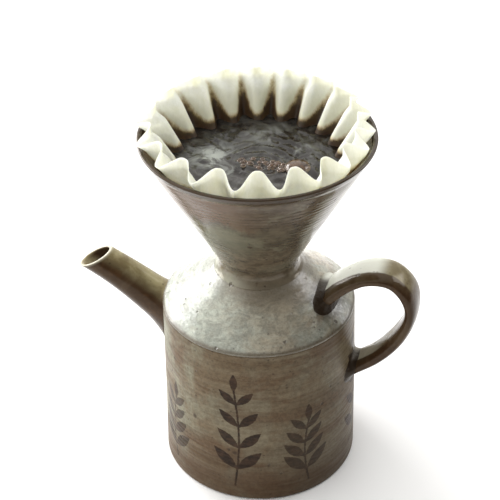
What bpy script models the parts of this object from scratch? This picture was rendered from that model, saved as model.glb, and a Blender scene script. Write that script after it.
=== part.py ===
"""Pour-over coffee set: a spouted stoneware pot, a cone dripper that lifts off it, and a pleated filter.

Frame: metres, +Z up. The origin is the centre of the pot's flat base, the spout points along -X and
the handle along +X, so the pot is symmetric about the plane y = 0.
"""

import math

import bmesh
import bpy
from mathutils import Matrix, Vector

# ---- driving dimensions -------------------------------------------------------------------------

SEGMENTS = 48            # facets round every turned piece, so that neighbours line up
GAP = 0.0003             # clearance between pieces that touch

# Pot
BASE_RADIUS = 0.0525
CORNER_RADIUS = 0.0513   # outer radius at the sharp edge between wall and shoulder
CORNER_Z = 0.0994
WALL = 0.0042
FLOOR = 0.0060
FLOOR_FILLET = 0.0060    # reach of the rounded corner between floor and wall
FOOT_BEVEL = 0.0014      # small rounding where the wall meets the base

# Shoulder
SEAT_RADIUS = 0.0232     # outer radius of the flat seat that the dripper stands on
SEAT_Z = 0.1199
NECK_RADIUS = 0.0168     # bore of the pot's neck
SHOULDER_RIM = 0.0068    # width of the shoulder's face on top of the wall
NECK_DEPTH = 0.0052
NECK_BEVEL = 0.0008      # softens the lower edge of the neck
SHOULDER_SLOPE = (SEAT_Z - CORNER_Z) / (CORNER_RADIUS - SEAT_RADIUS)

# Dripper
RIM_RADIUS = 0.0606
RIM_Z = 0.1990
CONE_SLOPE = 0.5510      # outward growth of the radius for each metre of height
CONE_FOOT_Z = 0.1290     # where the cone meets its foot
LIP = 0.0031             # wall thickness at the rim, measured level
LIP_BEVEL = 0.0008       # softens both edges of the rim
CONE_WALL = 0.0045       # wall thickness lower down, measured level
LIP_HEIGHT = 0.0120      # how far below the rim the wall has its full thickness
WAIST_RADIUS = 0.0213
WAIST_TOP_Z = 0.1262     # the waist is upright between these two heights
WAIST_BOTTOM_Z = 0.1235
FOOT_FLARE_Z = 0.1215    # below this the foot spreads out on to its seat
SPIGOT_RADIUS = 0.0162   # fits the neck with clearance
SPIGOT_Z = 0.1120        # lower end of the spigot
SPIGOT_BEVEL = 0.0008
OUTLET_RADIUS = 0.0118
OUTLET_TOP_Z = 0.1225    # above this the outlet opens into the cone

# Paper filter
PLEATS = 19
PLEAT_PHASE = math.radians(10.6)     # first inward fold if evenly spaced, turned from -Y towards +X
PLEAT_UNEVEN = math.radians(7.6)     # how far a fold strays from even spacing
PLEAT_UNEVEN_AT = math.radians(65)   # where the folds stray furthest on, opposite furthest back
STEPS_PER_PLEAT = 8
FOLD_BREADTH = 1.5       # 1 for even waves; more gives broad inward folds and narrow outward ones
PAPER = 0.0005
FILTER_Z = 0.1490        # underside of the flat bottom
FOLD_OUTER_Z = 0.2022    # top edge on the outward folds
FOLD_INNER_Z = 0.2080    # top edge on the inward folds
PLEAT_DEPTH_BOTTOM = 0.0050
PLEAT_DEPTH_TOP = 0.0090
SPREAD = 0.0034          # how far the top edge leans out over the rim, on average
SPREAD_UNEVEN = 0.0032   # added on one side and taken off the other
SPREAD_LEAST = math.radians(41)    # direction of the least spread, turned from -Y towards +X

# Coffee
BED_TOP_Z = 0.1640
BED_DISH = 0.0030        # the bed is this much lower in the middle
SLURRY_Z = 0.1840
SLURRY_DISH = 0.0004

# Spout, in the plane y = 0
SPOUT_ROOT = Vector((-0.0505, 0, 0.0815))
SPOUT_BEND = Vector((-0.0700, 0, 0.0985))
SPOUT_TIP = Vector((-0.0920, 0, 0.1090))
SPOUT_TIP_RADIUS = 0.0087
SPOUT_FLARE = 0.0030     # extra outer radius at the root
SPOUT_STEPS = 10
BORE_TIP_RADIUS = 0.0070
BORE_ROOT_RADIUS = 0.0098
LIP_TILT = math.radians(30)        # of the cut lip's normal, from vertical towards the tip

# Handle, in the plane y = 0, from the shoulder root round to the wall root
HANDLE_PATH = [
    Vector((0.0370, 0, 0.1075)),
    Vector((0.0465, 0, 0.1175)),
    Vector((0.0590, 0, 0.1252)),
    Vector((0.0715, 0, 0.1252)),
    Vector((0.0802, 0, 0.1167)),
    Vector((0.0822, 0, 0.1045)),
    Vector((0.0768, 0, 0.0892)),
    Vector((0.0655, 0, 0.0740)),
    Vector((0.0510, 0, 0.0625)),
]
HANDLE_STEPS = 4         # rings to each span of the path
STRAP_WIDTH_UPPER = 0.0250
STRAP_WIDTH_LOWER = 0.0170
STRAP_THICKNESS = 0.0073
STRAP_FLARE = 0.0015     # extra width at each root
STRAP_FLARE_REACH = 0.06 # part of the handle's length that the flare fades over
STRAP_FLATNESS = 0.75    # 1 for an oval section; less gives flatter faces
STRAP_EDGE = 0.75        # the same for the narrow sides

COIL_WIDTH = 0.0045      # how far the wiped clay reaches round a joint
COIL_HEIGHT = 0.0034


# ---- scene, collections and materials ------------------------------------------------------------

def clear_scene():
    for old in list(bpy.data.objects):
        bpy.data.objects.remove(old, do_unlink=True)


def new_collection(name):
    collection = bpy.data.collections.new(name)
    bpy.context.scene.collection.children.link(collection)
    return collection


def new_material(name, colour, roughness, metallic=0.0):
    material = bpy.data.materials.new(name)
    material.use_nodes = True
    shader = material.node_tree.nodes["Principled BSDF"]
    shader.inputs["Base Color"].default_value = (*colour, 1.0)
    shader.inputs["Roughness"].default_value = roughness
    shader.inputs["Metallic"].default_value = metallic
    return material


def new_object(name, mesh, collection, material, parent=None):
    thing = bpy.data.objects.new(name, mesh)
    collection.objects.link(thing)
    if material is not None:
        mesh.materials.append(material)
    if parent is not None:
        thing.parent = parent
        thing.matrix_parent_inverse = Matrix.Translation(-parent.location)
    mesh.shade_smooth()
    mesh.set_sharp_from_angle(angle=math.radians(40))
    return thing


def new_axis(name, location, collection):
    """An empty on a slide joint's axis, for the pieces that lift together."""
    empty = bpy.data.objects.new(name, None)
    empty.location = location
    empty.empty_display_size = 0.02
    collection.objects.link(empty)
    return empty


# ---- shape helpers -------------------------------------------------------------------------------

def turned_mesh(name, profile, closed):
    """The profile's (radius, height) points as edges, from top to bottom down the outer side."""
    shape = bmesh.new()
    points = [shape.verts.new((radius, 0, height)) for radius, height in profile]
    for first, second in zip(points, points[1:]):
        shape.edges.new((first, second))
    if closed:
        shape.edges.new((points[-1], points[0]))
    mesh = bpy.data.meshes.new(name)
    shape.to_mesh(mesh)
    shape.free()
    return mesh


def turned(name, profile, collection, material, parent=None, closed=False):
    """A turned solid. A closed profile is a ring, and an open one begins and ends on the axis."""
    mesh = turned_mesh(name, profile, closed)
    thing = new_object(name, mesh, collection, material, parent)
    screw = thing.modifiers.new("Turn", "SCREW")
    screw.axis = "Z"
    screw.steps = SEGMENTS
    screw.render_steps = SEGMENTS
    screw.use_merge_vertices = True
    screw.merge_threshold = 0.00001
    screw.use_smooth_shade = True
    return thing


def loft_mesh(name, rings, looped):
    """Skin over rings of equally many points. A looped loft closes on itself; any other is capped."""
    shape = bmesh.new()
    rows = [[shape.verts.new(point) for point in ring] for ring in rings]
    pairs = list(zip(rows, rows[1:]))
    if looped:
        pairs.append((rows[-1], rows[0]))
    for lower, upper in pairs:
        for index in range(len(lower)):
            after = (index + 1) % len(lower)
            shape.faces.new((lower[index], lower[after], upper[after], upper[index]))
    if not looped:
        shape.faces.new(rows[0])
        shape.faces.new(rows[-1])
    bmesh.ops.recalc_face_normals(shape, faces=shape.faces)
    mesh = bpy.data.meshes.new(name)
    shape.to_mesh(mesh)
    shape.free()
    return mesh


def smooth_path(points, steps):
    """Points along a smooth curve through the given ones (Catmull-Rom), with `steps` to each span."""
    ends = [2 * points[0] - points[1]] + list(points) + [2 * points[-1] - points[-2]]
    path = []
    for before, start, end, after in zip(ends, ends[1:], ends[2:], ends[3:]):
        for step in range(steps):
            t = step / steps
            path.append(0.5 * (2 * start + (end - before) * t
                               + (2 * before - 5 * start + 4 * end - after) * t ** 2
                               + (3 * start - before - 3 * end + after) * t ** 3))
    path.append(points[-1].copy())
    return path


def bezier(root, bend, tip, t):
    return (1 - t) ** 2 * root + 2 * t * (1 - t) * bend + t ** 2 * tip


def shoulder_height(radius):
    """Height of the shoulder's outer face at a radius."""
    return CORNER_Z + (CORNER_RADIUS - radius) * SHOULDER_SLOPE


def height_above_pot(point):
    """Rough distance of a point outside the pot's wall and shoulder, negative inside them."""
    radius = math.hypot(point.x, point.y)
    wall_radius = BASE_RADIUS + (CORNER_RADIUS - BASE_RADIUS) * point.z / CORNER_Z
    above_shoulder = (point.z - shoulder_height(radius)) / math.hypot(1, SHOULDER_SLOPE)
    return max(radius - wall_radius, above_shoulder)


def slide_onto_pot(point, outward, clearance):
    """Move a point along a direction until it is `clearance` outside the pot."""
    inside = -0.04
    outside = 0.04
    for _ in range(40):
        middle = (inside + outside) / 2
        if height_above_pot(point + outward * middle) < clearance:
            inside = middle
        else:
            outside = middle
    return point + outward * outside


def clay_coil(name, outline, outward, collection, material):
    """A ring of clay wiped round a joint. outline(extra) is the joined piece's section, grown by extra."""
    def ring(extra, height):
        return [slide_onto_pot(point, outward, height) for point in outline(extra)]

    rings = [
        ring(GAP, GAP),
        ring(COIL_WIDTH, GAP),
        ring(0.72 * COIL_WIDTH, 0.62 * COIL_HEIGHT),
        ring(GAP, COIL_HEIGHT),
    ]
    return new_object(name, loft_mesh(name, rings, looped=True), collection, material)


# ---- the pot -------------------------------------------------------------------------------------

def make_pot_body(collection, cutters, material):
    inner_base = BASE_RADIUS - WALL
    inner_top = CORNER_RADIUS - WALL
    profile = [
        (0, FLOOR),
        (inner_base - FLOOR_FILLET, FLOOR),
        (inner_base - 0.27 * FLOOR_FILLET, FLOOR + 0.27 * FLOOR_FILLET),
        (inner_base, FLOOR + FLOOR_FILLET),
        (inner_top, CORNER_Z - GAP),
        (CORNER_RADIUS, CORNER_Z - GAP),
        (BASE_RADIUS, FOOT_BEVEL),
        (BASE_RADIUS - FOOT_BEVEL, 0),
        (0, 0),
    ]
    body = turned("pot_body", profile, collection, material)

    direction = (SPOUT_BEND - SPOUT_ROOT).normalized()
    bpy.ops.mesh.primitive_cylinder_add(vertices=24, radius=BORE_ROOT_RADIUS, depth=0.026)
    cutter = bpy.context.active_object
    cutter.name = "spout_hole_cutter"
    cutter.location = SPOUT_ROOT
    cutter.rotation_euler = direction.to_track_quat("Z", "Y").to_euler()
    cutter.display_type = "WIRE"
    cutter.hide_render = True
    for holder in list(cutter.users_collection):
        holder.objects.unlink(cutter)
    cutters.objects.link(cutter)

    cut = body.modifiers.new("Spout hole", "BOOLEAN")
    cut.operation = "DIFFERENCE"
    cut.object = cutter
    return body


def make_pot_shoulder(collection, material):
    inner_radius = CORNER_RADIUS - SHOULDER_RIM
    neck_z = SEAT_Z - NECK_DEPTH
    profile = [
        (NECK_RADIUS, SEAT_Z),
        (SEAT_RADIUS, SEAT_Z),
        (CORNER_RADIUS, CORNER_Z),
        (inner_radius, CORNER_Z),
        (NECK_RADIUS + 2 * NECK_BEVEL, neck_z - NECK_BEVEL),
        (NECK_RADIUS, neck_z + NECK_BEVEL),
    ]
    return turned("pot_shoulder", profile, collection, material, closed=True)


# ---- the spout -----------------------------------------------------------------------------------

def spout_ring(centre, axis, radius, count=24):
    side = Vector((0, 1, 0))
    up = axis.cross(side).normalized()
    turns = [2 * math.pi * index / count for index in range(count)]
    return [centre + radius * (math.cos(turn) * side + math.sin(turn) * up) for turn in turns]


def spout_axis(t):
    ahead = bezier(SPOUT_ROOT, SPOUT_BEND, SPOUT_TIP, t + 0.01)
    behind = bezier(SPOUT_ROOT, SPOUT_BEND, SPOUT_TIP, t - 0.01)
    return (ahead - behind).normalized()


def spout_radius(t):
    return SPOUT_TIP_RADIUS + SPOUT_FLARE * (1 - t) ** 1.5


def bore_radius(t):
    return BORE_ROOT_RADIUS + (BORE_TIP_RADIUS - BORE_ROOT_RADIUS) * t


def cut_lip(ring, axis):
    """Slide a ring along the spout's axis into the plane of the slanted lip."""
    normal = Vector((-math.sin(LIP_TILT), 0, math.cos(LIP_TILT)))
    return [point + axis * ((SPOUT_TIP - point).dot(normal) / axis.dot(normal)) for point in ring]


def spout_side(radius_at, steps):
    """Rings from the root, fitted to the pot's wall, to the tip, cut to the lip's plane."""
    rings = []
    for step in range(steps + 1):
        t = step / steps
        axis = spout_axis(t)
        ring = spout_ring(bezier(SPOUT_ROOT, SPOUT_BEND, SPOUT_TIP, t), axis, radius_at(t))
        if step == 0:
            ring = [slide_onto_pot(point, axis, GAP) for point in ring]
        if step == steps:
            ring = cut_lip(ring, axis)
        rings.append(ring)
    return rings


def spout_steps_clear_of_ends(rings):
    """Leave out the rings that the fitted root or the slanted lip would overtake."""
    return [rings[0]] + rings[2:-2] + [rings[-1]]


def make_spout(collection, material):
    outer = spout_steps_clear_of_ends(spout_side(spout_radius, SPOUT_STEPS))
    inner = spout_steps_clear_of_ends(spout_side(bore_radius, SPOUT_STEPS))
    mesh = loft_mesh("spout", outer + inner[::-1], looped=True)
    return new_object("spout", mesh, collection, material)


# ---- the handle ----------------------------------------------------------------------------------

def strap_width(t):
    plain = STRAP_WIDTH_UPPER + (STRAP_WIDTH_LOWER - STRAP_WIDTH_UPPER) * t
    flare = math.exp(-(t / STRAP_FLARE_REACH) ** 2) + math.exp(-((1 - t) / STRAP_FLARE_REACH) ** 2)
    return plain + STRAP_FLARE * flare


def strap_section(centre, along, width, thickness, count=16):
    """A flat oval across the strap."""
    side = Vector((0, 1, 0))
    out = side.cross(along).normalized()
    section = []
    for index in range(count):
        turn = 2 * math.pi * index / count
        across = math.copysign(abs(math.cos(turn)) ** STRAP_EDGE, math.cos(turn))
        through = math.copysign(abs(math.sin(turn)) ** STRAP_FLATNESS, math.sin(turn))
        section.append(centre + side * (across * width / 2) + out * (through * thickness / 2))
    return section


def handle_frames():
    """Each ring's centre, direction and place from 0 at the shoulder to 1 at the wall."""
    path = smooth_path(HANDLE_PATH, HANDLE_STEPS)
    frames = []
    for index, centre in enumerate(path):
        ahead = path[min(index + 1, len(path) - 1)]
        behind = path[max(index - 1, 0)]
        frames.append((centre, (ahead - behind).normalized(), index / (len(path) - 1)))
    return frames


def fitted_end(centre, ring, outward):
    """Rings that close the strap's end against the pot's curved face, from the middle outwards."""
    shrinks = (0.15, 0.45, 0.75, 1.0)
    return [
        [slide_onto_pot(centre + (point - centre) * shrink, outward, GAP) for point in ring]
        for shrink in shrinks
    ]


def make_handle(collection, material):
    frames = handle_frames()
    sections = [
        strap_section(centre, along, strap_width(t), STRAP_THICKNESS)
        for centre, along, t in frames
    ]
    upper = fitted_end(frames[0][0], sections[0], frames[0][1])
    lower = fitted_end(frames[-1][0], sections[-1], -frames[-1][1])
    # The fitted ends reach past their neighbours, so those are left out.
    rings = upper + sections[2:-2] + lower[::-1]
    return new_object("handle", loft_mesh("handle", rings, looped=False), collection, material)


def make_handle_coil(name, frame, outward, collection, material):
    centre, along, t = frame

    def outline(extra):
        return strap_section(centre, along, strap_width(t) + 2 * extra, STRAP_THICKNESS + 2 * extra)

    return clay_coil(name, outline, outward, collection, material)


# ---- the dripper ---------------------------------------------------------------------------------

def cone_radius(height):
    return RIM_RADIUS - (RIM_Z - height) * CONE_SLOPE


def cone_bore(height):
    """Inner radius of the cone: the wall thins towards the rim."""
    thinning = max(0.0, 1 - (RIM_Z - height) / LIP_HEIGHT)
    return cone_radius(height) - CONE_WALL + (CONE_WALL - LIP) * thinning


def make_dripper_cone(collection, material, parent):
    lower_z = CONE_FOOT_Z + GAP
    profile = [
        (cone_bore(RIM_Z), RIM_Z - LIP_BEVEL),
        (cone_bore(RIM_Z) + LIP_BEVEL, RIM_Z),
        (RIM_RADIUS - LIP_BEVEL, RIM_Z),
        (RIM_RADIUS, RIM_Z - LIP_BEVEL),
        (cone_radius(lower_z), lower_z),
        (cone_bore(lower_z), lower_z),
        (cone_bore(RIM_Z - LIP_HEIGHT), RIM_Z - LIP_HEIGHT),
    ]
    return turned("dripper_cone", profile, collection, material, parent, closed=True)


def make_dripper_foot(collection, material, parent):
    seat_z = SEAT_Z + GAP
    profile = [
        (cone_bore(CONE_FOOT_Z), CONE_FOOT_Z),
        (cone_radius(CONE_FOOT_Z), CONE_FOOT_Z),
        (WAIST_RADIUS, WAIST_TOP_Z),
        (WAIST_RADIUS, WAIST_BOTTOM_Z),
        (WAIST_RADIUS + 0.25 * (SEAT_RADIUS - WAIST_RADIUS), FOOT_FLARE_Z),
        (SEAT_RADIUS, seat_z),
        (SPIGOT_RADIUS, seat_z),
        (SPIGOT_RADIUS, SPIGOT_Z + SPIGOT_BEVEL),
        (SPIGOT_RADIUS - SPIGOT_BEVEL, SPIGOT_Z),
        (OUTLET_RADIUS, SPIGOT_Z),
        (OUTLET_RADIUS, OUTLET_TOP_Z),
    ]
    return turned("dripper_foot", profile, collection, material, parent, closed=True)


# ---- the filter and what it holds ----------------------------------------------------------------

def filter_outer_radius(height):
    """Reach of the outward folds, just clear of the cone's facets and straight up above the rim."""
    return cone_bore(min(height, RIM_Z)) * math.cos(math.pi / SEGMENTS) - GAP


def rim_spread(turn, height):
    """How far the folds lean out over the rim. turn is from -Y towards +X."""
    above_rim = (height - RIM_Z) / (FOLD_OUTER_Z - RIM_Z)
    spread = SPREAD - SPREAD_UNEVEN * math.cos(turn - SPREAD_LEAST)
    return spread * min(max(above_rim, 0.0), 1.0)


def pleat_depth(height):
    up = (height - FILTER_Z) / (FOLD_OUTER_Z - FILTER_Z)
    return PLEAT_DEPTH_BOTTOM + (PLEAT_DEPTH_TOP - PLEAT_DEPTH_BOTTOM) * up


def fold_direction(even):
    """Where the folds of hand-opened paper lie, given the direction they would have evenly spaced."""
    turn = even
    for _ in range(6):
        turn = even + PLEAT_UNEVEN * math.cos(turn - PLEAT_UNEVEN_AT)
    return turn


def paper_ring(level):
    """One row of the pleated wall. level runs from 0 at the flat bottom to 1 at the top edge."""
    ring = []
    count = PLEATS * STEPS_PER_PLEAT
    for index in range(count):
        wave = 0.5 + 0.5 * math.cos(2 * math.pi * index / STEPS_PER_PLEAT)
        inward = 1 - (1 - wave) ** FOLD_BREADTH
        top = FOLD_OUTER_Z + (FOLD_INNER_Z - FOLD_OUTER_Z) * inward
        height = FILTER_Z + (top - FILTER_Z) * level
        turn = fold_direction(PLEAT_PHASE + 2 * math.pi * index / count)
        radius = filter_outer_radius(height) - pleat_depth(min(height, FOLD_OUTER_Z)) * inward
        radius += rim_spread(turn, height)
        ring.append(Vector((radius * math.sin(turn), -radius * math.cos(turn), height)))
    return ring


def make_paper_filter(collection, material, parent):
    """A pleated wall and a flat bottom as one open sheet, thickened inwards."""
    shape = bmesh.new()
    outward_fold_at_rim = (RIM_Z - FILTER_Z) / (FOLD_OUTER_Z - FILTER_Z)
    levels = [0, 0.35, 0.7, outward_fold_at_rim, 1]
    rows = [[shape.verts.new(point) for point in paper_ring(level)] for level in levels]
    for lower, upper in zip(rows, rows[1:]):
        for index in range(len(lower)):
            after = (index + 1) % len(lower)
            shape.faces.new((lower[index], lower[after], upper[after], upper[index]))
    shape.faces.new(rows[0][::-1])
    mesh = bpy.data.meshes.new("paper_filter")
    shape.to_mesh(mesh)
    shape.free()
    paper = new_object("paper_filter", mesh, collection, material, parent)
    thickness = paper.modifiers.new("Paper", "SOLIDIFY")
    thickness.thickness = PAPER
    thickness.offset = -1
    return paper


def inside_pleats(height):
    """Largest radius that stays clear of the inward folds."""
    return filter_outer_radius(height) - pleat_depth(height) - PAPER - 2 * GAP


def make_coffee_bed(collection, material, parent):
    floor_z = FILTER_Z + PAPER + GAP
    profile = [
        (0, BED_TOP_Z - BED_DISH),
        (0.5 * inside_pleats(BED_TOP_Z), BED_TOP_Z - 0.8 * BED_DISH),
        (inside_pleats(BED_TOP_Z), BED_TOP_Z),
        (inside_pleats(floor_z), floor_z),
        (0, floor_z),
    ]
    return turned("coffee_bed", profile, collection, material, parent)


def make_coffee_slurry(collection, material, parent):
    profile = [
        (0, SLURRY_Z - SLURRY_DISH),
        (0.9 * inside_pleats(SLURRY_Z), SLURRY_Z - SLURRY_DISH),
        (inside_pleats(SLURRY_Z), SLURRY_Z),
        (inside_pleats(BED_TOP_Z + GAP), BED_TOP_Z + GAP),
        (0.5 * inside_pleats(BED_TOP_Z), BED_TOP_Z - 0.8 * BED_DISH + GAP),
        (0, BED_TOP_Z - BED_DISH + GAP),
    ]
    return turned("coffee_slurry", profile, collection, material, parent)


# ---- assembly ------------------------------------------------------------------------------------

def main():
    clear_scene()
    parts = new_collection("pour_over_dripper")
    cutters = new_collection("cutters")

    wall_glaze = new_material("painted_wall_glaze", (0.42, 0.37, 0.31), 0.45)
    pale_glaze = new_material("pale_celadon_glaze", (0.62, 0.62, 0.55), 0.22)
    olive_glaze = new_material("olive_brown_glaze", (0.16, 0.13, 0.08), 0.28)
    cone_glaze = new_material("grey_brown_glaze", (0.30, 0.26, 0.21), 0.28)
    paper = new_material("filter_paper", (0.86, 0.84, 0.70), 0.85)
    grounds = new_material("wet_coffee_grounds", (0.035, 0.018, 0.010), 0.7)
    coffee = new_material("coffee_with_foam", (0.06, 0.04, 0.03), 0.15)

    make_pot_body(parts, cutters, wall_glaze)
    make_pot_shoulder(parts, pale_glaze)
    make_spout(parts, olive_glaze)
    make_handle(parts, olive_glaze)
    frames = handle_frames()
    upper = frames[0]
    lower = frames[-1]
    make_handle_coil("handle_upper_coil", upper, upper[1], parts, olive_glaze)
    make_handle_coil("handle_lower_coil", lower, -lower[1], parts, olive_glaze)

    dripper_axis = new_axis("dripper_lift_axis", (0, 0, SEAT_Z), parts)
    make_dripper_cone(parts, cone_glaze, dripper_axis)
    make_dripper_foot(parts, cone_glaze, dripper_axis)

    filter_axis = new_axis("filter_lift_axis", (0, 0, FILTER_Z), parts)
    make_paper_filter(parts, paper, filter_axis)
    make_coffee_bed(parts, grounds, filter_axis)
    make_coffee_slurry(parts, coffee, filter_axis)


main()
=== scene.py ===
"""Looks of a stoneware pour-over set: painted pot, strap handle, spout, cone dripper, pleated paper
filter and the coffee in it. Everything is in metres, in the frame of the CAD model."""

import math

import bpy
import numpy as np
from mathutils import Matrix, Vector


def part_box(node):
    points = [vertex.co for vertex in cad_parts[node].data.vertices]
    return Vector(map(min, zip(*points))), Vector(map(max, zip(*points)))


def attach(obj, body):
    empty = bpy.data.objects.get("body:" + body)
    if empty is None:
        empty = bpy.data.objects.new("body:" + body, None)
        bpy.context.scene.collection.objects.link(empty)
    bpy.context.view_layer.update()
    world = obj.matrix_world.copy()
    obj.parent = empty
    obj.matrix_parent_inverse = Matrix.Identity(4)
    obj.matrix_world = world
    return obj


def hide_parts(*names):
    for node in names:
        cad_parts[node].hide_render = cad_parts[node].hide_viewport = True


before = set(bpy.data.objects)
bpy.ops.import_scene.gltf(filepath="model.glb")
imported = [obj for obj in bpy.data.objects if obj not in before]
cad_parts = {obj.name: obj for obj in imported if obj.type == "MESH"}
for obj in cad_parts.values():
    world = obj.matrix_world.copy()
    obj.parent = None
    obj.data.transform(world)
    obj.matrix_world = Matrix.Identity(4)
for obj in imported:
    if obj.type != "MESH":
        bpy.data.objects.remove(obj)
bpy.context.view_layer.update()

MM = 0.001

# ---- sizes read from the CAD model ----

BASE_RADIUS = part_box("pot_body")[1].x
CORNER_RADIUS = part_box("pot_shoulder")[1].x
CORNER_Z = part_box("pot_shoulder")[0].z
SEAT_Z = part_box("pot_shoulder")[1].z
SEAT_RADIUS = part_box("dripper_foot")[1].x
SPIGOT_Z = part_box("dripper_foot")[0].z
CONE_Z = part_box("dripper_cone")[0].z
RIM_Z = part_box("dripper_cone")[1].z
RIM_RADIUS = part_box("dripper_cone")[1].x
FILTER_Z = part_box("paper_filter")[0].z
PAPER_TOP_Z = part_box("paper_filter")[1].z
SLURRY_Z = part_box("coffee_slurry")[1].z

# ---- sizes shared with the CAD model's design ----

WALL = 4.2 * MM
FLOOR = 6 * MM
NECK_RADIUS = 16.8 * MM
SHOULDER_RIM = 6.8 * MM
NECK_DEPTH = 5.2 * MM
CONE_SLOPE = 0.5510
CONE_WALL = 4.5 * MM
LIP = 3.1 * MM
SPIGOT_RADIUS = 16.2 * MM
OUTLET_RADIUS = 11.8 * MM
SHOULDER_SLOPE = (SEAT_Z - CORNER_Z) / (CORNER_RADIUS - SEAT_RADIUS)

SPOUT_ROOT = Vector((-0.0505, 0, 0.0815))
SPOUT_BEND = Vector((-0.0700, 0, 0.0985))
SPOUT_TIP = Vector((-0.0920, 0, 0.1090))
SPOUT_TIP_RADIUS = 8.7 * MM
SPOUT_FLARE = 3.0 * MM
BORE_TIP_RADIUS = 7.0 * MM
BORE_ROOT_RADIUS = 9.8 * MM
LIP_TILT = math.radians(30)

HANDLE_PATH = [Vector((x * MM, 0, z * MM)) for x, z in (
    (37.0, 107.5), (46.5, 117.5), (59.0, 125.2), (71.5, 125.2), (80.2, 116.7),
    (82.2, 104.5), (76.8, 89.2), (65.5, 74.0), (51.0, 62.5),
)]
STRAP_WIDTH_UPPER = 25.0 * MM
STRAP_WIDTH_LOWER = 17.0 * MM
STRAP_THICKNESS = 7.2 * MM
STRAP_FLARE = 1.5 * MM
STRAP_FLARE_REACH = 0.06

PLEATS = 19
PLEAT_PHASE = math.radians(10.6)
PLEAT_UNEVEN = math.radians(7.6)
PLEAT_UNEVEN_AT = math.radians(65)
PAPER = 0.25 * MM                     # thinner than the CAD model's
FOLD_BREADTH = 1.5
SPREAD = 3.4 * MM
SPREAD_UNEVEN = 3.2 * MM
SPREAD_LEAST = math.radians(41)
PLEAT_DEPTH_BOTTOM = 5.0 * MM
PLEAT_DEPTH_TOP = 9.0 * MM
FOLD_OUTER_Z = 202.2 * MM

VIEW_AZIMUTH = math.radians(16)       # where the photograph was taken from, turned from -Y towards +X

# Turned pieces that meet share a seed, so that their unevenness matches where they meet.
POT_SEED = 3
DRIPPER_SEED = 21
WALL_COLUMNS = 540
TURNED_COLUMNS = 420
FOOT_COLUMNS = 300
POT_UNEVEN = 0.22 * MM
DRIPPER_THROWING = {"ridge": 0.06 * MM, "uneven": 0.10 * MM, "inward_only": True}
DRAWN_IN = np.array([0.02, 0.02, 1])  # shrinks a ring to a small one at the same height


# ---- meshes ----

def skin(name, rings, looped=False, cap_first=False, cap_last=False):
    """A surface over rings of equally many points, each ring closed on itself."""
    rings = np.asarray(rings, float)
    rows, columns = rings.shape[:2]
    index = np.arange(rows * columns).reshape(rows, columns)
    lower = index if looped else index[:-1]
    upper = np.roll(index, -1, axis=0) if looped else index[1:]
    quads = np.stack([lower, np.roll(lower, -1, axis=1), np.roll(upper, -1, axis=1), upper], axis=-1)
    faces = quads.reshape(-1, 4).tolist()
    if cap_first:
        faces.append(index[0][::-1].tolist())
    if cap_last:
        faces.append(index[-1].tolist())
    mesh = bpy.data.meshes.new(name)
    mesh.from_pydata(rings.reshape(-1, 3).tolist(), [], faces)
    if signed_volume(mesh) < 0:
        mesh.flip_normals()
    mesh.validate()
    mesh.shade_smooth()
    piece = bpy.data.objects.new(name, mesh)
    bpy.context.scene.collection.objects.link(piece)
    return piece


def signed_volume(mesh):
    """Volume that the faces enclose, negative where they point inwards."""
    mesh.calc_loop_triangles()
    corners = np.empty(len(mesh.loop_triangles) * 3, np.int32)
    mesh.loop_triangles.foreach_get("vertices", corners)
    points = positions(mesh)[corners].reshape(-1, 3, 3)
    return np.einsum("ij,ij->i", points[:, 0], np.cross(points[:, 1], points[:, 2])).sum() / 6


def positions(mesh):
    """Where the mesh's points are, one row each."""
    points = np.empty(len(mesh.vertices) * 3, np.float32)
    mesh.vertices.foreach_get("co", points)
    return points.reshape(-1, 3).astype(float)


def store(mesh, name, values):
    """Keep one number for each point, for a material to read."""
    attribute = mesh.attributes.new(name, "FLOAT", "POINT")
    attribute.data.foreach_set("value", np.asarray(values, np.float32))


def place(piece, body, slot, material, *nodes):
    """Finish a piece: its material, the body that it moves with and the CAD nodes it stands for."""
    piece.data.materials.clear()
    piece.data.materials.append(material)
    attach(piece, body)
    if nodes:
        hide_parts(*nodes)
    return piece


def even_steps(count):
    """Numbers from 0 to 1, `count` equal steps apart."""
    return [step / count for step in range(count + 1)]


def curve(points, t):
    """A point on the Bezier curve that starts at the first point and ends at the last."""
    while len(points) > 1:
        points = [start + (end - start) * t for start, end in zip(points, points[1:])]
    return points[0]


def profile(corners, step):
    """Points every `step` along (radius, height, rounding) corners, each rounded off by its rounding."""
    dense = []
    for index, (radius, height, rounding) in enumerate(corners):
        corner = np.array([radius, height])
        if index in (0, len(corners) - 1) or rounding == 0:
            dense.append(corner)
            continue
        before = np.array(corners[index - 1][:2]) - corner
        after = np.array(corners[index + 1][:2]) - corner
        start = corner + before / np.linalg.norm(before) * rounding
        end = corner + after / np.linalg.norm(after) * rounding
        dense += [curve((start, corner, end), t) for t in even_steps(8)]
    dense = np.array(dense)
    along = np.concatenate([[0], np.cumsum(np.linalg.norm(np.diff(dense, axis=0), axis=1))])
    count = max(2, int(round(along[-1] / step)) + 1)
    evenly = np.linspace(0, along[-1], count)
    return np.stack([np.interp(evenly, along, dense[:, 0]), np.interp(evenly, along, dense[:, 1])], 1)


def waves(angle, height, seed, count=7, turns=6, rise=110):
    """Smooth unevenness, about -1 to 1, that meets itself after a full turn."""
    random = np.random.default_rng(seed)
    total = np.zeros(np.broadcast(angle, height).shape)
    for _ in range(count):
        total += np.cos(random.integers(1, turns) * angle + random.uniform(-rise, rise) * height
                        + random.uniform(0, 2 * math.pi))
    return total / math.sqrt(2 * count)


def throwing_rings(angle, height, seed, pitch=2.6 * MM):
    """The shallow spiral ridges that fingers leave on a thrown wall, about -1 to 1."""
    spiral = 2 * math.pi * height / pitch + angle
    drift = 1.6 * waves(angle, height, seed, turns=3, rise=260)
    strength = 0.55 + 0.45 * waves(angle, height, seed + 1, turns=3, rise=320)
    return np.cos(spiral + drift) * strength


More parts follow.
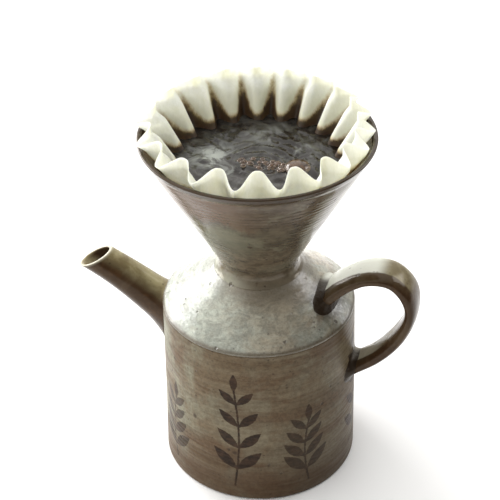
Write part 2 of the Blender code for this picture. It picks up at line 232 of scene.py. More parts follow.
def turned_rings(points, columns, seed, ridge=0.0, uneven=0.0, inward_only=False):
    """Rings of a turned profile, with finger ridges and a hand-made unevenness added to the radius."""
    angle = np.linspace(0, 2 * math.pi, columns, endpoint=False)[None, :]
    radius = points[:, 0][:, None]
    height = points[:, 1][:, None]
    change = ridge * throwing_rings(angle, height, seed) + uneven * waves(angle, height, seed + 2)
    if inward_only:
        change = change - ridge - uneven
    radius = np.maximum(radius + change, 0.2 * MM)
    return np.stack([radius * np.cos(angle), radius * np.sin(angle), height + 0 * angle], axis=-1)


def turned_shell(name, outside, inside, columns, seed, **throwing):
    """A turned piece from two profiles that meet at both ends: a thrown outside, a plain inside."""
    outer = turned_rings(outside, columns, seed, **throwing)
    inner = turned_rings(inside, columns, seed)
    return skin(name, np.concatenate([outer, inner]), looped=True)


def smooth_path(points, steps):
    """Points along a smooth curve through the given ones (Catmull-Rom)."""
    ends = [2 * points[0] - points[1]] + list(points) + [2 * points[-1] - points[-2]]
    path = []
    for before, start, end, after in zip(ends, ends[1:], ends[2:], ends[3:]):
        for step in range(steps):
            t = step / steps
            path.append(0.5 * (2 * start + (end - before) * t
                               + (2 * before - 5 * start + 4 * end - after) * t ** 2
                               + (3 * start - before - 3 * end + after) * t ** 3))
    path.append(points[-1].copy())
    return path


def height_above_pot(point):
    """Distance of a point outside the pot's wall and shoulder, negative inside them."""
    radius = math.hypot(point.x, point.y)
    wall_radius = BASE_RADIUS + (CORNER_RADIUS - BASE_RADIUS) * point.z / CORNER_Z
    shoulder_z = CORNER_Z + (CORNER_RADIUS - radius) * SHOULDER_SLOPE
    return max(radius - wall_radius, (point.z - shoulder_z) / math.hypot(1, SHOULDER_SLOPE))


def slide_onto_pot(point, outward, clearance):
    """Move a point along a direction until it is `clearance` outside the pot."""
    inside = -40 * MM
    outside = 40 * MM
    for _ in range(30):
        middle = (inside + outside) / 2
        if height_above_pot(point + outward * middle) < clearance:
            inside = middle
        else:
            outside = middle
    return point + outward * outside


# ---- material nodes ----

class Field:
    """A number or a colour that varies over a surface: one output of a material node."""

    def __init__(self, surface, socket):
        self.surface = surface
        self.socket = socket

    def __add__(self, other):
        return self.surface.math("ADD", self, other)

    def __sub__(self, other):
        return self.surface.math("SUBTRACT", self, other)

    def __rsub__(self, other):
        return self.surface.math("SUBTRACT", other, self)

    def __mul__(self, other):
        return self.surface.math("MULTIPLY", self, other)

    def at_least(self, other):
        return self.surface.math("MAXIMUM", self, other)

    def levels(self, low, high, to_low=0.0, to_high=1.0):
        """Spread low..high smoothly over to_low..to_high."""
        inputs = {"Value": self, "From Min": low, "From Max": high, "To Min": to_low, "To Max": to_high}
        return self.surface.node("MapRange", "Result", inputs, interpolation_type="SMOOTHSTEP")

    def beside(self, output):
        """Another output of the same node."""
        return Field(self.surface, self.socket.node.outputs[output])


class Surface:
    """A Principled material, built up in layers out of procedural nodes."""

    def __init__(self, name, colour, settings):
        self.material = bpy.data.materials.new(name)
        self.material.use_nodes = True
        self.tree = self.material.node_tree
        self.shader = self.tree.nodes["Principled BSDF"]
        for setting, value in settings.items():
            self.feed(self.shader.inputs[setting], value)
        self.place = self.tree.nodes.new("ShaderNodeTexCoord")
        self.colour = colour
        self.normal = None

    def feed(self, socket, value):
        """Give a socket a Field, a number, a vector or a colour."""
        if isinstance(value, Field):
            self.tree.links.new(value.socket, socket)
        elif isinstance(value, tuple) and len(socket.default_value) == 4:
            socket.default_value = (*value, 1.0)
        else:
            socket.default_value = value

    def node(self, kind, output, inputs, **options):
        """Add a node with these inputs and options, and give one of its outputs."""
        node = self.tree.nodes.new("ShaderNode" + kind)
        for option, value in options.items():
            setattr(node, option, value)
        for key, value in inputs.items():
            self.feed(node.inputs[key], value)
        return Field(self, node.outputs[output])

    def math(self, operation, first, second):
        return self.node("Math", "Value", {0: first, 1: second}, operation=operation)

    def stretched(self, stretch):
        """Where each point is, multiplied along each axis, or by one number along all three."""
        if not isinstance(stretch, tuple):
            stretch = (stretch, stretch, stretch)
        where = Field(self, self.place.outputs["Object"])
        return self.node("Mapping", "Vector", {"Vector": where, "Scale": stretch})

    def noise(self, stretch, detail=4.0, roughness=0.55, distortion=0.0):
        """Cloudy noise from about 0.25 to 0.75. stretch is how many features fit in a metre."""
        inputs = {"Vector": self.stretched(stretch), "Scale": 1.0, "Detail": detail,
                  "Roughness": roughness, "Distortion": distortion}
        return self.node("TexNoise", "Fac", inputs)

    def spots(self, per_metre, share, size, softness):
        """1 inside scattered round spots: `share` of the cells have one, `size` of a cell across."""
        cell = self.node("TexVoronoi", "Color", {"Vector": self.stretched(per_metre), "Scale": 1.0})
        red = self.node("SeparateColor", "Red", {"Color": cell})
        chosen = self.math("GREATER_THAN", red, 1 - share)
        near = red.beside("Green") * size - cell.beside("Distance")
        return chosen * near.levels(-softness * size, softness * size)

    def value(self, name):
        """A number that the mesh keeps for each point."""
        return self.node("Attribute", "Fac", {}, attribute_name=name)

    def axis(self, name, kind="Object"):
        """A coordinate in metres, or with "Normal" how far the surface faces that way, -1 to 1."""
        return self.node("SeparateXYZ", name, {"Vector": Field(self, self.place.outputs[kind])})

    def mixed(self, share, first, second):
        return self.node("Mix", 2, {0: share, 6: first, 7: second}, data_type="RGBA")

    def cover(self, share, colour):
        """Lay a colour over what is there, as far as share goes from 0 to 1."""
        self.colour = self.mixed(share, self.colour, colour)

    def shade(self, factor):
        """Make what is there darker or lighter."""
        inputs = {0: self.colour, "Scale": factor}
        self.colour = self.node("VectorMath", "Vector", inputs, operation="SCALE")

    def bump(self, height, depth):
        """Raise the surface by `depth` metres where height goes from 0 to 1."""
        inputs = {"Distance": depth, "Height": height}
        if self.normal is not None:
            inputs["Normal"] = self.normal
        self.normal = self.node("Bump", "Normal", inputs)

    def finish(self, roughness=None):
        """Connect the layers to the shader and give the material."""
        self.feed(self.shader.inputs["Base Color"], self.colour)
        if roughness is not None:
            self.feed(self.shader.inputs["Roughness"], roughness)
        if self.normal is not None:
            self.feed(self.shader.inputs["Normal"], self.normal)
        return self.material


# Colours, in linear red, green and blue

IRON = (0.035, 0.020, 0.012)
PINHOLE = (0.06, 0.045, 0.03)
CREASE = (0.170, 0.140, 0.095)       # the glaze pooled round the waist
WARM_SHEEN = (1.0, 0.90, 0.74)       # tint of the reflections in the brown glazes

WALL_DARK = (0.105, 0.068, 0.036)
WALL_LIGHT = (0.195, 0.152, 0.094)
WALL_PALE = (0.235, 0.230, 0.165)
WALL_WARM = (0.095, 0.050, 0.023)
WALL_FOOT = (0.066, 0.034, 0.016)
WALL_EDGE = (0.085, 0.058, 0.034)
PAINT_THICK = (0.014, 0.006, 0.002)
PAINT_THIN = (0.052, 0.026, 0.013)

CELADON = (0.385, 0.415, 0.350)
CELADON_BROWN = (0.30, 0.230, 0.150)
CELADON_MOTTLE = (0.235, 0.210, 0.150)
CELADON_EDGE = (0.105, 0.080, 0.050)
# painted shadow round the handle's upper root, over brown glaze
ROOT_SHADOW_AND_GLAZE = (0.045, 0.030, 0.018)

CONE_DARK = (0.052, 0.038, 0.024)
CONE_LIGHT = (0.100, 0.078, 0.052)
CONE_PALE = (0.22, 0.215, 0.150)
CONE_RUST = (0.100, 0.047, 0.019)
CONE_BELOW_RUST = (0.19, 0.185, 0.125)
CONE_RUN_OFF = (0.31, 0.31, 0.245)
CONE_RIM = (0.034, 0.019, 0.009)

OLIVE_DARK = (0.044, 0.022, 0.010)
OLIVE_DARK_PAINTED_TOP_LIGHT = (0.190, 0.152, 0.078)
OLIVE_LIGHT = (0.072, 0.045, 0.024)
OLIVE_LIGHT_PAINTED_TOP_LIGHT = (0.380, 0.335, 0.190)
OLIVE_THIN = (0.10, 0.050, 0.020)
HANDLE_PAINTED_REFLECTION = (0.84, 0.86, 0.76)
BARE_CLAY = (0.50, 0.48, 0.39)
BURNT_CLAY = (0.022, 0.013, 0.007)

PAPER_SHADE = (0.79, 0.815, 0.655)
PAPER_LIGHT = (0.875, 0.895, 0.765)
PAPER_YELLOW = (0.90, 0.86, 0.56)
PAPER_DAMP_AND_SHADE = (0.47, 0.30, 0.12)
PAPER_SOAKED_AND_SHADE = (0.030, 0.012, 0.005)

COFFEE_DARK = (0.010, 0.007, 0.005)
COFFEE_SWIRL = (0.028, 0.024, 0.020)
COFFEE_FROTH = (0.36, 0.38, 0.35)
BUBBLE_DARK = (0.075, 0.032, 0.014)
BUBBLE_LIGHT = (0.22, 0.12, 0.06)
BUBBLE_EDGE = (0.58, 0.47, 0.40)
GROUNDS_DARK = (0.010, 0.005, 0.003)
GROUNDS_LIGHT = (0.085, 0.045, 0.022)
FLOOR_COLOUR = (0.96, 0.96, 0.955)


def glaze_faults(surface, specks, pinholes):
    """Iron specks and pinholes, which every glaze here has."""
    small = surface.spots(640, specks, 0.45, 0.5)
    large = surface.spots(170, specks * 0.35, 0.28, 0.35)
    surface.cover((small * 0.6).at_least(large) * 0.8, IRON)
    holes = surface.spots(330, pinholes, 0.34, 0.3)
    surface.bump(1.0 - holes, 0.35 * MM)
    surface.cover(holes * 0.7, PINHOLE)


def brushed_bands(surface, coarse, fine):
    """Level streaks, from about 0 to 1, of two widths."""
    wide = surface.noise((9, 9, coarse), 5, 0.6).levels(0.33, 0.67)
    narrow = surface.noise((26, 26, fine), 4, 0.65).levels(0.3, 0.7)
    return wide * 0.6 + narrow * 0.4


def wall_glaze():
    """Brown in level brush strokes, paler towards the window as painted light over pale glaze clouds, darker
    on the right as painted shade, with the painted sprigs over it.
    """
    surface = Surface("painted_wall_glaze", WALL_DARK, {"Specular IOR Level": 0.14})
    bands = brushed_bands(surface, 120, 560)
    surface.cover(bands, WALL_LIGHT)
    # painted light: the pale glaze clouds are shown more strongly towards the window side
    painted_window_light = surface.axis("X").levels(10 * MM, -46 * MM, 0.30, 1.0)
    clouds = surface.noise((34, 34, 26), 6, 0.65, 0.4).levels(0.40, 0.60)
    surface.cover(clouds * painted_window_light * 0.85, WALL_PALE)
    warm = surface.noise((22, 22, 60), 5, 0.6, 0.5).levels(0.50, 0.62)
    surface.cover(warm * 0.55, WALL_WARM)
    surface.shade(surface.noise(420, 5, 0.8).levels(0.36, 0.64, 0.78, 1.14))
    low = surface.axis("Z") + surface.noise(30) * (24 * MM)
    surface.cover(low.levels(62 * MM, 18 * MM, 0.0, 0.55), WALL_FOOT)
    # painted shade: up to 14% darker towards the right, away from the window
    surface.shade(surface.axis("X").levels(12 * MM, 46 * MM, 1.0, 0.86))
    ragged = surface.value("paint") + (surface.noise(700, 3) - 0.5) * 0.9
    body = surface.noise((260, 260, 420), 4, 0.7).levels(0.35, 0.72)
    ink = surface.mixed(body, PAINT_THICK, PAINT_THIN)
    surface.cover(ragged.levels(-0.22, 0.28) * surface.value("ink"), ink)
    edge = surface.axis("Z") + surface.noise(60, 3) * (1.6 * MM)
    surface.cover(edge.levels(CORNER_Z - 1.6 * MM, CORNER_Z - 0.2 * MM) * 0.8, WALL_EDGE)
    glaze_faults(surface, 0.06, 0.04)
    surface.bump(bands, 0.14 * MM)
    surface.bump(surface.noise((900, 900, 1500), 3), 0.05 * MM)
    return surface.finish(bands.levels(0.2, 0.8, 0.48, 0.34))


def shoulder_glaze():
    """Pale celadon, browner towards the handle and where it pooled under the dripper, lighter towards the
    back as painted light, with a painted shadow round the handle's upper root.
    """
    surface = Surface("pale_celadon_glaze", CELADON, {"Coat Weight": 0.22, "Coat Roughness": 0.18})
    clouds = surface.noise(30, 6, 0.68, 0.8).levels(0.40, 0.60)
    towards_handle = surface.axis("X").levels(-34 * MM, 30 * MM)
    surface.cover((clouds * 0.6 + 0.2) * towards_handle, CELADON_BROWN)
    mottle = surface.noise((130, 130, 260), 6, 0.78, 0.5).levels(0.42, 0.62)
    surface.cover(mottle * 0.42, CELADON_MOTTLE)
    surface.shade(surface.noise((75, 75, 110), 5, 0.7, 1.2).levels(0.42, 0.60, 0.78, 1.16))
    # painted light: up to 35% lighter towards the back
    surface.shade(surface.axis("Y").levels(0 * MM, 26 * MM, 1.0, 1.35))
    surface.shade(surface.noise((620, 620, 1100), 4, 0.7).levels(0.35, 0.65, 0.84, 1.12))
    edge = surface.axis("Z") - surface.noise(70, 3) * (1.2 * MM)
    surface.cover(edge.levels(CORNER_Z + 0.9 * MM, CORNER_Z - 0.3 * MM) * 0.8, CELADON_EDGE)
    drift = surface.axis("Z") + surface.noise(60, 5, 0.6) * (9 * MM)
    away_from_spout = surface.axis("X").levels(-20 * MM, 2 * MM, 0.25, 0.92)
    surface.cover(drift.levels(SEAT_Z - 3.0 * MM, SEAT_Z + 4.0 * MM) * away_from_spout, CREASE)
    # painted shadow round the handle's upper root, over brown glaze
    shadow_halo = surface.value("root_shadow_share") * surface.noise(150, 5, 0.7).levels(0.30, 0.60)
    surface.cover(shadow_halo * 0.9, ROOT_SHADOW_AND_GLAZE)
    glaze_faults(surface, 0.07, 0.05)
    surface.bump(surface.noise((70, 70, 240)), 0.60 * MM)
    surface.bump(surface.noise((240, 240, 520), 4, 0.6), 0.16 * MM)
    surface.bump(surface.noise(700, 3), 0.04 * MM)
    return surface.finish(mottle.levels(0.0, 1.0, 0.22, 0.42))


def cone_glaze():
    """Grey-brown, lighter towards its foot, with a rust patch and pale runs at the left, pale clouds stronger
    towards the window as painted light, and a dark rim.
    """
    surface = Surface("grey_brown_glaze", CONE_DARK, {
        "Specular IOR Level": 0.27, "Specular Tint": WARM_SHEEN, "Coat Weight": 0.2, "Coat Roughness": 0.08})
    bands = brushed_bands(surface, 110, 420)
    surface.cover(bands, CONE_LIGHT)
    surface.shade(surface.noise((170, 170, 240), 6, 0.72).levels(0.38, 0.62, 0.75, 1.25))
    surface.shade(surface.axis("Z").levels(156 * MM, 130 * MM, 1.0, 1.4))
    pale = surface.noise((30, 30, 26), 6, 0.66, 0.9).levels(0.52, 0.60)
    # painted light: the pale glaze clouds are shown more strongly towards the window side
    painted_window_light = surface.axis("X").levels(0 * MM, -30 * MM, 0.25, 0.9)
    surface.cover(pale * painted_window_light, CONE_PALE)
    tongues = surface.axis("Z") + surface.noise((55, 55, 9), 4, 0.6, 0.3) * (34 * MM)
    left_of_front = surface.axis("X").levels(20 * MM, -8 * MM, 0.12, 1.0)
    surface.cover(tongues.levels(188 * MM, 193 * MM) * left_of_front * 0.85, CONE_RUST)
    below = tongues.levels(189 * MM, 183 * MM) * tongues.levels(160 * MM, 182 * MM)
    surface.cover(below * left_of_front * 0.55, CONE_BELOW_RUST)
    drift = surface.axis("Z") + surface.noise(80, 5, 0.6) * (8 * MM)
    spilt = surface.mixed(surface.axis("X").levels(8 * MM, -15 * MM), CREASE, CONE_RUN_OFF)
    surface.cover(drift.levels(131 * MM, 124 * MM) * 0.92, spilt)
    rim = surface.axis("Z") + surface.noise(40) * (1.2 * MM)
    surface.cover(rim.levels(RIM_Z - 4.0 * MM, RIM_Z - 3.0 * MM) * 0.96, CONE_RIM)
    glaze_faults(surface, 0.08, 0.05)
    surface.bump(bands, 0.08 * MM)
    surface.bump(surface.noise((60, 60, 150)), 0.45 * MM)
    return surface.finish(bands.levels(0.0, 1.0, 0.26, 0.14))


def olive_glaze():
    """The glaze of the spout, the handle and its roots, paler where it faces up as painted light, with a pale
    strip on the handle's upper limb as a painted reflection.
    """
    surface = Surface("olive_brown_glaze", OLIVE_DARK, {
        "Specular IOR Level": 0.22, "Specular Tint": WARM_SHEEN, "Coat Weight": 0.06, "Coat Roughness": 0.05})
    clouds = surface.noise(60, 5, 0.62, 0.4).levels(0.36, 0.66)
    on_handle = surface.axis("X").levels(30 * MM, 36 * MM)
    wander = surface.axis("Y") + (surface.noise(70, 3) - 0.5) * (3 * MM)
    far_half = wander.levels(-5.8 * MM, -4.4 * MM)
    lit = far_half.at_least(1.0 - on_handle)
    # painted light: paler where the glaze faces up, fully on the spout and the handle's far half, faintly on
    # its near half
    up = surface.axis("Z", "Normal").levels(0.38, 0.92) * lit.levels(0.0, 1.0, 0.12, 1.0)
    low = surface.mixed(up, OLIVE_DARK, OLIVE_DARK_PAINTED_TOP_LIGHT)
    high = surface.mixed(up, OLIVE_LIGHT, OLIVE_LIGHT_PAINTED_TOP_LIGHT)
    surface.colour = surface.mixed(clouds, low, high)
    surface.cover(surface.noise(150, 4, 0.7).levels(0.52, 0.72) * 0.35, OLIVE_THIN)
    # painted reflection: a pale strip on the up-facing far half of the handle's upper limb
    upper_limb = surface.axis("X").levels(71 * MM, 62 * MM)
    pale = surface.axis("Z", "Normal").levels(0.20, 0.45) * (upper_limb * far_half)
    pale = pale * on_handle.levels(0.0, 1.0, 0.0, 0.92)
    pale = pale * surface.axis("Z").levels(92 * MM, 112 * MM, 0.22, 1.0)
    surface.cover(pale, HANDLE_PAINTED_REFLECTION)
    surface.cover(surface.value("bare"), BARE_CLAY)
    pitted = surface.value("pitted")
    surface.cover(pitted * wander.levels(9 * MM, 1 * MM, 0.30, 0.97), BURNT_CLAY)
    glaze_faults(surface, 0.08, 0.05)
    surface.bump(surface.noise(260, 4, 0.7) * pitted, 0.6 * MM)
    surface.bump(surface.noise(130), 0.25 * MM)
    surface.bump(surface.noise(800, 3), 0.03 * MM)
    return surface.finish(clouds.levels(0.0, 1.0, 0.14, 0.26) + pitted * 0.2)


def paper():
    """Ribbed paper that takes its coffee stains, and the painted shade in them, from what the mesh keeps,
    with a painted glow on its far side.
    """
    surface = Surface("filter_paper", PAPER_SHADE, {
        "Subsurface Weight": 0.65, "Subsurface Radius": (1.0, 0.97, 0.75), "Subsurface Scale": 1.7 * MM})
    crepe = surface.noise((700, 700, 260), 4, 0.7)
    surface.cover(crepe.levels(0.3, 0.7), PAPER_LIGHT)
    tint = surface.noise((45, 45, 30), 3).levels(0.40, 0.65, 0.0, 0.35)
    # painted light: a yellow glow on the far side just above the coffee, over the random yellow tint
    surface.cover(tint.at_least(surface.value("far_side_glow").levels(0.0, 1.0, 0.0, 0.8)), PAPER_YELLOW)
    # coffee stains, with painted shade where they climb higher on the far side
    wet_and_shade = surface.value("wet_and_shade")
    ragged = wet_and_shade + (surface.noise((230, 230, 120), 6, 0.75) - 0.5) * 0.7
    soaked_and_shaded_reach = wet_and_shade.levels(0.0, 0.10)
    damp_and_shade = ragged.levels(0.12, 0.62) * soaked_and_shaded_reach
    surface.cover(damp_and_shade * 0.85, PAPER_DAMP_AND_SHADE)
    surface.cover(ragged.levels(0.36, 0.72) * soaked_and_shaded_reach * 0.97, PAPER_SOAKED_AND_SHADE)
    surface.bump(crepe, 0.12 * MM)
    return surface.finish(damp_and_shade.levels(0.0, 1.0, 0.9, 0.45))


def coffee():
    """Dark liquid with drifts of froth."""
    surface = Surface("coffee_with_foam", COFFEE_DARK, {"IOR": 1.34})
    surface.cover(surface.noise(26, 4, 0.55, 2.6).levels(0.42, 0.62), COFFEE_SWIRL)
    froth = surface.noise(60, 6, 0.66, 1.6).levels(0.44, 0.64) * surface.value("foam")
    surface.cover(froth, COFFEE_FROTH)
    surface.bump(surface.noise(120, 3, 0.5, 0.5), 0.45 * MM)
    return surface.finish(froth.levels(0.0, 1.0, 0.07, 0.4))


def bubble_film():
    surface = Surface("coffee_bubbles", BUBBLE_DARK, {
        "Roughness": 0.05, "Coat Weight": 0.6, "Coat Roughness": 0.02,
        "Transmission Weight": 0.6, "IOR": 1.25})
    surface.cover(surface.noise(420).levels(0.35, 0.65), BUBBLE_LIGHT)
    surface.cover(surface.value("edge"), BUBBLE_EDGE)
    surface.bump(surface.noise(700, 3), 0.06 * MM)
    return surface.finish()


def wet_grounds():
    surface = Surface("wet_coffee_grounds", GROUNDS_DARK, {"Roughness": 0.6})
    grains = surface.noise(1400, 4, 0.7)
    surface.cover(grains.levels(0.35, 0.65), GROUNDS_LIGHT)
    surface.bump(grains, 0.5 * MM)
    return surface.finish()


# ---- the painted sprigs on the wall ----
#
# A plain border of upright sprigs, evenly spaced and every other one short. Lengths are in
# millimetres on the unrolled wall: across from the middle of a sprig, and up from the base.

SPRIGS = 8
SPRIG_FOOT = 9.0
TALL_SPRIG = 76.0
SHORT_SPRIG = 52.0
STEM = 0.6                 # half the width of a stem
STEM_BEND = 2.5
LEAF_PAIRS = 4
LEAF_ANGLE = 46            # degrees between a leaf and the stem
LONGEST_LEAF = 20.0
SHORTEST_LEAF = 12.0
LEAF_BREADTH = 0.36        # of the leaf's length
LOWEST_PAIR = 0.18         # how far up the stem the first and last pairs of leaves are
HIGHEST_PAIR = 0.84
TALL_INK = 0.97
SHORT_INK = 0.80
FAR_OUTSIDE = -9.0


def leaf_cover(across, up, foot, heading, length):
    """How far inside a pointed oval leaf each point is."""
    turn = math.radians(heading)
    along = ((across - foot[0]) * math.cos(turn) + (up - foot[1]) * math.sin(turn)) / length
    sideways = np.abs((up - foot[1]) * math.cos(turn) - (across - foot[0]) * math.sin(turn))
    inside = np.clip(along, 0, 1)
    half_width = LEAF_BREADTH * length / 2 * np.sin(math.pi * inside)
    past_end = np.abs(along - inside) * length
    return half_width - np.hypot(sideways, past_end)


def stem_across(share, bend):
    """How far to the side the bowed stem is, at a share of its height."""
    return bend * np.sin(math.pi * share)


def sprig_cover(across, up, height, bend):
    """How far inside one sprig each point is, or how far outside where negative."""
    share = np.clip((up - SPRIG_FOOT) / (height - SPRIG_FOOT), 0, 1)
    above_or_below = np.maximum(np.maximum(SPRIG_FOOT - up, up - height), 0)
    cover = STEM - np.hypot(across - stem_across(share, bend), above_or_below)
    for pair in range(LEAF_PAIRS):
        at = LOWEST_PAIR + (HIGHEST_PAIR - LOWEST_PAIR) * pair / (LEAF_PAIRS - 1)
        foot = (stem_across(at, bend), SPRIG_FOOT + at * (height - SPRIG_FOOT))
        length = LONGEST_LEAF + (SHORTEST_LEAF - LONGEST_LEAF) * at
        for side in (-1, 1):
            cover = np.maximum(cover, leaf_cover(across, up, foot, 90 + side * LEAF_ANGLE, length))
    tip = (0.0, height - 2.0)
    return np.maximum(cover, leaf_cover(across, up, tip, 90, SHORTEST_LEAF))


def paint_wall(mesh):
    """Keep the painting on the wall's points: how far inside a sprig, and how strong its ink is."""
    points = positions(mesh)
    angle = np.arctan2(points[:, 0], -points[:, 1])
    up = points[:, 2] / MM
    around = math.pi * (BASE_RADIUS + CORNER_RADIUS) / MM
    paint = np.full(len(points), FAR_OUTSIDE)
    ink = np.zeros(len(points))
    for index in range(SPRIGS):
        tall = index % 2 == 0
        turned = (angle - index * 2 * math.pi / SPRIGS + math.pi) % (2 * math.pi) - math.pi
        height = TALL_SPRIG if tall else SHORT_SPRIG
        bend = STEM_BEND if tall else -STEM_BEND
        cover = sprig_cover(turned * around / (2 * math.pi), up, height, bend)
        ink = np.where(cover > paint, TALL_INK if tall else SHORT_INK, ink)
        paint = np.maximum(paint, cover)
    outside = np.hypot(points[:, 0], points[:, 1]) > CORNER_RADIUS - 1.5 * MM
    store(mesh, "paint", np.where(outside, np.clip(paint, -3, 3), -3))
    store(mesh, "ink", ink)


# ---- the pot ----

SEAM_Z = CORNER_Z - 1.2 * MM     # where the wall's mesh meets the shoulder's, under the glaze
SEAM_RADIUS = CORNER_RADIUS + (BASE_RADIUS - CORNER_RADIUS) * (1 - SEAM_Z / CORNER_Z)


def cut_spout_hole(piece):
    """Open the wall behind the spout."""
    direction = (SPOUT_BEND - SPOUT_ROOT).normalized()
    bpy.ops.mesh.primitive_cylinder_add(vertices=48, radius=BORE_ROOT_RADIUS, depth=26 * MM)
    cutter = bpy.context.active_object
    cutter.location = SPOUT_ROOT
    cutter.rotation_euler = direction.to_track_quat("Z", "Y").to_euler()
    cut = piece.modifiers.new("Spout hole", "BOOLEAN")
    cut.operation = "DIFFERENCE"
    cut.object = cutter
    bpy.context.view_layer.update()
    evaluated = piece.evaluated_get(bpy.context.evaluated_depsgraph_get())
    cut_mesh = bpy.data.meshes.new_from_object(evaluated)
    piece.modifiers.clear()
    piece.data = cut_mesh
    bpy.data.objects.remove(cutter, do_unlink=True)


def make_pot_wall():
    inner_base = BASE_RADIUS - WALL
    inner_top = CORNER_RADIUS - WALL
    inside = profile([(0.5 * MM, FLOOR, 0), (inner_base, FLOOR, 6 * MM), (inner_top, SEAM_Z, 0)], 5 * MM)
    outside = profile([(SEAM_RADIUS, SEAM_Z, 0), (BASE_RADIUS, 0, 1.4 * MM),
                       (BASE_RADIUS - 5 * MM, 0, 0)], 0.66 * MM)
    below = profile([(BASE_RADIUS - 9 * MM, 0, 0), (0.5 * MM, 0, 0)], 8 * MM)
    plain = turned_rings(inside, WALL_COLUMNS, POT_SEED)
    thrown = turned_rings(outside, WALL_COLUMNS, POT_SEED, ridge=0.07 * MM, uneven=POT_UNEVEN)
    thrown[-6:, :, 2] = np.maximum(thrown[-6:, :, 2], 0)     # nothing dips below the base
    base = turned_rings(below, WALL_COLUMNS, POT_SEED)
    wall = skin("pot_wall", np.concatenate([plain, thrown, base]), cap_first=True, cap_last=True)
    cut_spout_hole(wall)
    paint_wall(wall.data)
    return place(wall, "pot", "painted_wall_glaze", wall_glaze(), "pot_body")


def shoulder_line(radius):
    """Height of the plain shoulder."""
    return SEAT_Z - SHOULDER_SLOPE * (radius - SEAT_RADIUS)


def make_shoulder():
    neck_z = SEAT_Z - NECK_DEPTH
    outside = profile([
        (NECK_RADIUS, neck_z, 0),
        (NECK_RADIUS, SEAT_Z - 0.01 * MM, 0.6 * MM),
        (SEAT_RADIUS, SEAT_Z - 0.01 * MM, 0.1 * MM),
        *[(radius * MM, shoulder_line(radius * MM) - dip * MM, rounding * MM)
          for radius, dip, rounding in ((24.6, 0.10, 0.8), (28.5, 0.30, 1.5), (35.0, 0.15, 2.5))],
        (CORNER_RADIUS, CORNER_Z, 0.9 * MM),
        (SEAM_RADIUS, SEAM_Z, 0),
    ], 0.45 * MM)
    inside = profile([
        (SEAM_RADIUS - WALL, SEAM_Z, 0),
        (CORNER_RADIUS - SHOULDER_RIM, CORNER_Z + 1 * MM, 1 * MM),
        (NECK_RADIUS + 1 * MM, neck_z - 0.4 * MM, 0),
    ], 3 * MM)
    shoulder = turned_shell("shoulder", outside, inside, TURNED_COLUMNS, POT_SEED,
                            ridge=0.05 * MM, uneven=POT_UNEVEN)
    # a painted shadow on the shoulder round the handle's upper root, centred a little in front of it
    shadow_centre = np.array(HANDLE_PATH[0]) + np.array([0, -5 * MM, 0])
    from_root = (positions(shoulder.data) - shadow_centre) * np.array([1.0, 0.7, 1.0])
    beyond_root = np.maximum(np.linalg.norm(from_root, axis=1) - 6.5 * MM, 0)
    store(shoulder.data, "root_shadow_share", np.exp(-(beyond_root / (3.5 * MM)) ** 2))
    return place(shoulder, "pot", "pale_celadon_glaze", shoulder_glaze(), "pot_shoulder")


# ---- the spout ----

def spout_centre(t):
    """A point on the spout's axis, for t from 0 at the root to 1 at the tip."""
    return curve((SPOUT_ROOT, SPOUT_BEND, SPOUT_TIP), t)


def spout_direction(t):
    return (2 * (1 - t) * (SPOUT_BEND - SPOUT_ROOT) + 2 * t * (SPOUT_TIP - SPOUT_BEND)).normalized()


def spout_section(t, radius, flare, count=72):
    """A ring across the spout. flare widens its underside."""
    direction = spout_direction(t)
    side = Vector((0, 1, 0))
    up = side.cross(direction).normalized()
    if up.z < 0:
        up = -up
    ring = []
    for index in range(count):
        turn = 2 * math.pi * index / count
        below = 0.5 - 0.5 * math.sin(turn)
        reach = radius + flare * (0.15 + 0.85 * below)
        reach *= 1 + 0.012 * math.sin(3 * turn + 5 * t)
        ring.append(spout_centre(t) + reach * (math.cos(turn) * side + math.sin(turn) * up))
    return ring


LIP_NORMAL = Vector((-math.sin(LIP_TILT), 0, math.cos(LIP_TILT)))
LIP_SHARES = (0.12, 0.35, 0.5, 0.65, 0.88)    # rings over the lip, from its outer to its inner edge
LIP_BULGE = 0.5 * MM
SPOUT_STEPS = 36
SUNK = -0.3 * MM                              # how deep a root's edge goes into the pot


def cut_lip(ring, direction, beyond=0.0):
    """Slide a ring along the spout on to the plane of the lip."""
    lifted = SPOUT_TIP + LIP_NORMAL * beyond
    slope = direction.dot(LIP_NORMAL)
    return [point + direction * ((lifted - point).dot(LIP_NORMAL) / slope) for point in ring]


def shaped_ring(ring, t):
    """Lean a ring towards the lip's plane near the tip, and towards the pot's wall near the root."""
    direction = spout_direction(t)
    centre = spout_centre(t)
    leaning = max(0.0, (t - 0.6) / 0.4)
    rooted = max(0.0, 1 - t / 0.35)
    shaped = []
    for point, at_lip in zip(ring, cut_lip(ring, direction, -LIP_BULGE)):
        at_foot = slide_onto_pot(point, direction, SUNK)
        to_lip = (at_lip - point).dot(direction) - (SPOUT_TIP - centre).dot(direction)
        to_foot = (at_foot - point).dot(direction) - (SPOUT_ROOT - centre).dot(direction)
        shaped.append(point + direction * (to_lip * leaning + to_foot * rooted))
    return shaped


def rounded_lip():
    """Rings over the spout's lip, from its outer edge to its inner one."""
    rings = []
    for share in LIP_SHARES:
        radius = SPOUT_TIP_RADIUS - (SPOUT_TIP_RADIUS - BORE_TIP_RADIUS) * share
        bulge = LIP_BULGE * math.sqrt(1 - (2 * share - 1) ** 2)
        rings.append(cut_lip(spout_section(1.0, radius, 0), spout_direction(1.0), bulge - LIP_BULGE))
    return rings


def bare_lip(points):
    """1 on the unglazed lip, by each point's distance below it and from the spout's axis."""
    tip = np.array(spout_direction(1.0))
    across = points - np.array(SPOUT_TIP)
    below_lip = -across @ np.array(LIP_NORMAL)
    from_axis = np.linalg.norm(across - np.outer(across @ tip, tip), axis=1)
    near_lip = np.clip(1.0 - (below_lip / MM - 0.2) / 0.45, 0, 1)
    return near_lip * np.clip((from_axis / MM - 7.4) / 0.4, 0, 1)


